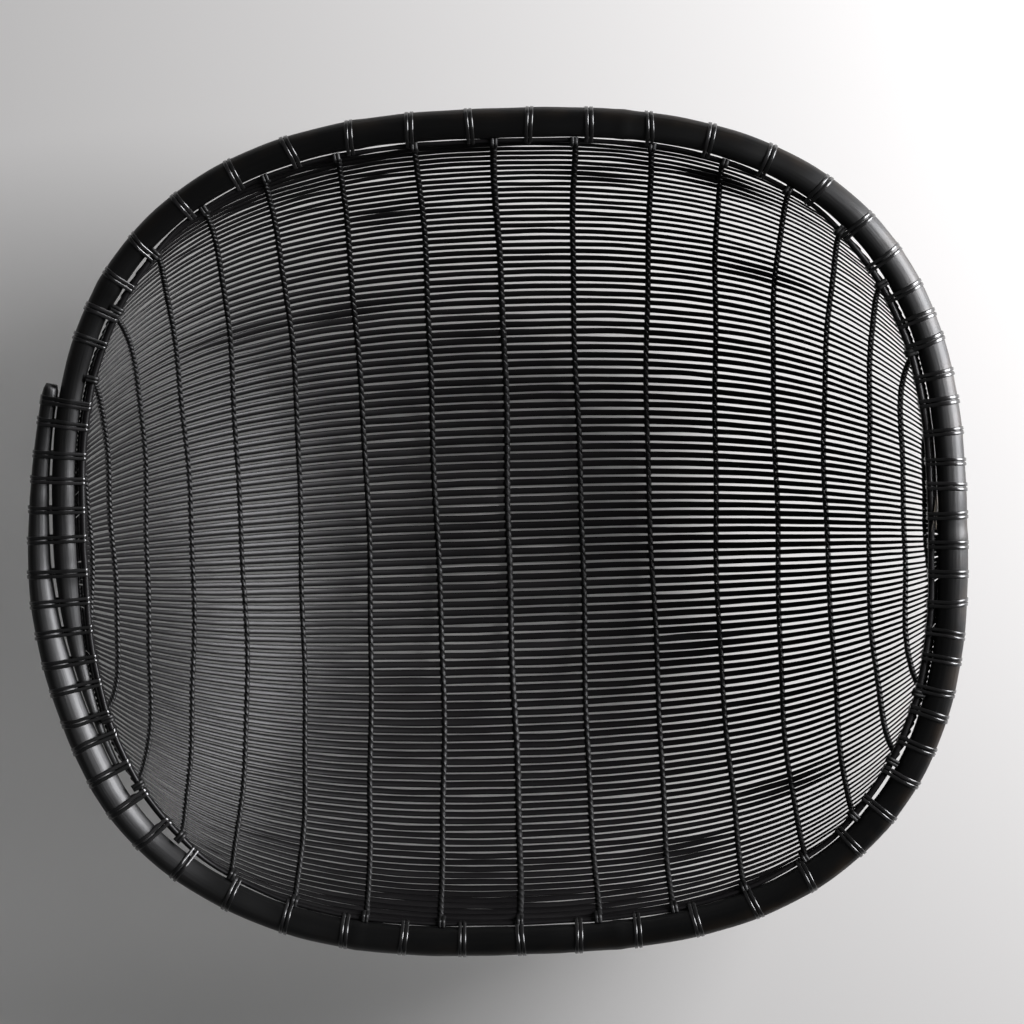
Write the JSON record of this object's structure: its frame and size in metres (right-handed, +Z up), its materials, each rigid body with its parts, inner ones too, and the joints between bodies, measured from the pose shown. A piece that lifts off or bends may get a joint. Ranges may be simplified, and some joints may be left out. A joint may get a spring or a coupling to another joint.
{
  "type": "harvest basket",
  "caption": "Shallow oval open-work harvest basket of dark split-cane rods, twined across and gathered into a lashed pole rim with an overlapped splice.",
  "frame": {"origin": "centre of the overall footprint, on the surface that the belly rests on", "axes": "+X along the rods, towards the end away from the rim splice; +Y across the rods; +Z up, out of the mouth"},
  "size_m": [0.5712, 0.517, 0.1718],
  "materials": {
    "rod_cane": "smoke-black split cane, satin, fine grain along the rods",
    "twining_cane": "smoke-black twisted cane strips, dull satin",
    "pole_cane": "smoke-black peeled cane pole, satin gloss, brown where worn",
    "hoop_cane": "smoke-black split cane, satin",
    "lashing_cane": "smoke-black flat cane binding, glossy skin side"
  },
  "bodies": {
    "root": {"rod_band_01": "rod_cane", "rod_band_02": "rod_cane", "rod_band_03": "rod_cane", "rod_band_04": "rod_cane", "rod_band_05": "rod_cane", "rod_band_06": "rod_cane", "rod_band_07": "rod_cane", "rod_band_08": "rod_cane", "rod_band_09": "rod_cane", "rod_band_10": "rod_cane", "rod_band_11": "rod_cane", "rod_band_12": "rod_cane", "rod_band_13": "rod_cane", "rod_band_14": "rod_cane", "rod_band_15": "rod_cane", "rod_band_16": "rod_cane", "rod_band_17": "rod_cane", "rod_band_18": "rod_cane", "rod_band_19": "rod_cane", "rod_band_20": "rod_cane", "rod_band_21": "rod_cane", "twining_inner_01": "twining_cane", "twining_inner_02": "twining_cane", "twining_inner_03": "twining_cane", "twining_inner_04": "twining_cane", "twining_inner_05": "twining_cane", "twining_inner_06": "twining_cane", "twining_inner_07": "twining_cane", "twining_inner_08": "twining_cane", "twining_inner_09": "twining_cane", "twining_inner_10": "twining_cane", "twining_inner_11": "twining_cane", "twining_inner_12": "twining_cane", "twining_inner_13": "twining_cane", "twining_inner_14": "twining_cane", "twining_inner_15": "twining_cane", "twining_outer_01": "twining_cane", "twining_outer_02": "twining_cane", "twining_outer_03": "twining_cane", "twining_outer_04": "twining_cane", "twining_outer_05": "twining_cane", "twining_outer_06": "twining_cane", "twining_outer_07": "twining_cane", "twining_outer_08": "twining_cane", "twining_outer_09": "twining_cane", "twining_outer_10": "twining_cane", "twining_outer_11": "twining_cane", "twining_outer_12": "twining_cane", "twining_outer_13": "twining_cane", "twining_outer_14": "twining_cane", "twining_outer_15": "twining_cane", "rim_pole": "pole_cane", "rim_hoop": "hoop_cane", "lashing_right": "lashing_cane", "lashing_back": "lashing_cane", "lashing_left": "lashing_cane", "lashing_front": "lashing_cane"}
  },
  "joints": []
}
